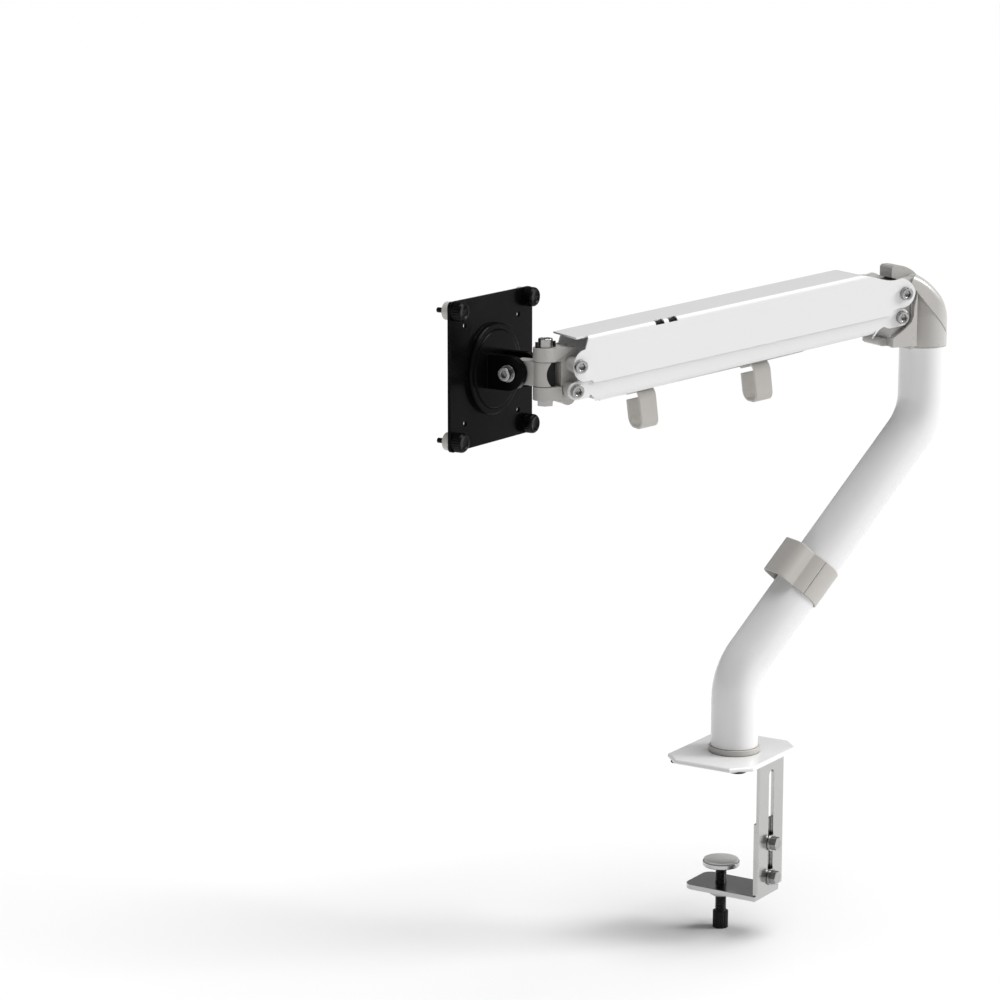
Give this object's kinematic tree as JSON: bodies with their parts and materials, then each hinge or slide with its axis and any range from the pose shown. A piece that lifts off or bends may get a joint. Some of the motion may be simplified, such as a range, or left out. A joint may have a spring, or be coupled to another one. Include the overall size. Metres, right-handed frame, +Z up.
{
  "type": "monitor arm",
  "caption": "Desk-clamp monitor arm: bent pole on a swivelling base, gas-spring parallelogram upper arm, level fork, and a swivel, tilt and roll head with a square screen plate.",
  "frame": {"origin": "on the desk's surface, under the axis of the base post", "axes": "+Z up from the desk; +Y the way the screen plate faces at rest; +X along the screen plate, to the right of someone behind the plate"},
  "size_m": [0.3751, 0.2562, 0.5348],
  "materials": {
    "white_paint": "satin",
    "grey_paint": "satin",
    "black_paint": "satin",
    "zinc": "brushed",
    "black_steel": "satin",
    "silver_bracket": "plated",
    "grey_plastic": "matte",
    "black_plastic": "matte",
    "natural_nylon": "matte",
    "pale_pad": "matte",
    "foam_pad": "matte",
    "screw_plastic": "gloss"
  },
  "bodies": {
    "base": {"desk_pad": "foam_pad", "upper_bracket": "silver_bracket", "base_plate": "white_paint", "base_post": "zinc", "base_collar": "grey_plastic"},
    "jaw": {"lower_jaw": "silver_bracket", "jaw_bolts": "zinc", "jaw_nuts": "zinc", "clamp_nut": "zinc"},
    "clamp_pad": {"pressure_pad": "silver_bracket", "pressure_pad_liner": "pale_pad"},
    "clamp_screw": {"clamp_screw": "black_steel", "clamp_knob": "black_plastic"},
    "lower_arm": {"lower_tube": "white_paint", "base_bush": "natural_nylon", "elbow_bush": "natural_nylon", "collar_back": "grey_plastic", "collar_front": "grey_plastic"},
    "knuckle": {"elbow_knuckle": "grey_paint", "rear_pivot_bolts": "zinc", "rear_pivot_nuts": "zinc", "rear_bushes": "natural_nylon", "rear_washers": "natural_nylon", "elbow_spindle": "zinc", "elbow_washer": "natural_nylon", "rod_pin": "zinc"},
    "upper_arm": {"upper_cover": "white_paint", "gauge_insert": "black_plastic", "gas_cylinder": "black_steel", "anchor_pin": "zinc", "tension_block": "zinc"},
    "tension_screw": {"tension_screw": "black_steel"},
    "gas_rod": {"gas_rod": "zinc", "rod_eye": "black_steel"},
    "link": {"lower_link": "white_paint", "front_cable_clip": "grey_plastic", "rear_cable_clip": "grey_plastic"},
    "fork": {"fork": "grey_paint", "front_pivot_bolts": "zinc", "front_pivot_nuts": "zinc", "front_bushes": "natural_nylon", "swivel_bolt": "zinc", "swivel_nut": "zinc", "swivel_pins": "black_steel"},
    "swivel": {"tilt_knuckle": "grey_paint", "swivel_pad": "black_plastic", "swivel_bush": "natural_nylon"},
    "tilt": {"tilt_clevis": "black_paint", "tilt_bolt": "zinc", "tilt_washer": "zinc", "tilt_nut": "zinc", "roll_nut": "zinc"},
    "screen_plate": {"screen_plate": "black_paint", "plate_spacers": "grey_plastic", "thumbscrews": "screw_plastic"}
  },
  "joints": [
    {"name": "jaw_height", "type": "slide", "parent": "base", "child": "jaw", "axis": [0, 0, 1], "range_m": [0, 0.03]},
    {"name": "clamp_travel", "type": "slide", "parent": "jaw", "child": "clamp_pad", "axis": [0, 0, 1], "range_m": [-0.01, 0.012]},
    {"name": "clamp_screw_turn", "type": "hinge", "parent": "clamp_pad", "child": "clamp_screw", "pos_m": [0, 0.0105, -0.094], "axis": [0, 0, 1], "range_deg": [-2450, 2950]},
    {"name": "base_swivel", "type": "hinge", "parent": "base", "child": "lower_arm", "pos_m": [0, 0, 0.03], "axis": [0, 0, 1], "range_deg": [-170, 170]},
    {"name": "elbow_swivel", "type": "hinge", "parent": "lower_arm", "child": "knuckle", "pos_m": [0.14896, -0.086, 0.33], "axis": [0, 0, 1], "range_deg": [-165, 165]},
    {"name": "arm_lift", "type": "hinge", "parent": "knuckle", "child": "upper_arm", "pos_m": [0.12055, -0.0696, 0.368], "axis": [0.5, 0.866, 0], "range_deg": [-13, 30]},
    {"name": "link_lift", "type": "hinge", "parent": "knuckle", "child": "link", "pos_m": [0.11865, -0.0685, 0.34895], "axis": [0.5, 0.866, 0], "range_deg": [-13, 30]},
    {"name": "gas_spring_stroke", "type": "slide", "parent": "upper_arm", "child": "gas_rod", "axis": [0.8617, -0.4975, 0.0994], "range_m": [-0.003, 0.006]},
    {"name": "tension_screw_turn", "type": "hinge", "parent": "upper_arm", "child": "tension_screw", "pos_m": [-0.10282, 0.05936, 0.33523], "axis": [0.8591, -0.496, 0.126], "range_deg": [-1800, 1800]},
    {"name": "fork_level", "type": "hinge", "parent": "upper_arm", "child": "fork", "pos_m": [-0.13375, 0.07722, 0.3307], "axis": [0.5, 0.866, 0], "range_deg": [-30, 13]},
    {"name": "head_swivel", "type": "hinge", "parent": "fork", "child": "swivel", "pos_m": [-0.14948, 0.0863, 0.3235], "axis": [0, 0, 1], "range_deg": [-10, 130]},
    {"name": "head_tilt", "type": "hinge", "parent": "swivel", "child": "tilt", "pos_m": [-0.14948, 0.1108, 0.3232], "axis": [1, 0, 0], "range_deg": [-35, 35]},
    {"name": "screen_roll", "type": "hinge", "parent": "tilt", "child": "screen_plate", "pos_m": [-0.14948, 0.1346, 0.3232], "axis": [0, 1, 0], "range_deg": [-90, 90]}
  ],
  "couplings": [
    {"joint": "clamp_screw_turn", "follows": "clamp_travel", "rad_per_m": 4188.8},
    {"joint": "link_lift", "follows": "arm_lift", "ratio": 1},
    {"joint": "fork_level", "follows": "arm_lift", "ratio": -1},
    {"joint": "gas_spring_stroke", "follows": "arm_lift", "m_per_rad": 0.0095}
  ]
}
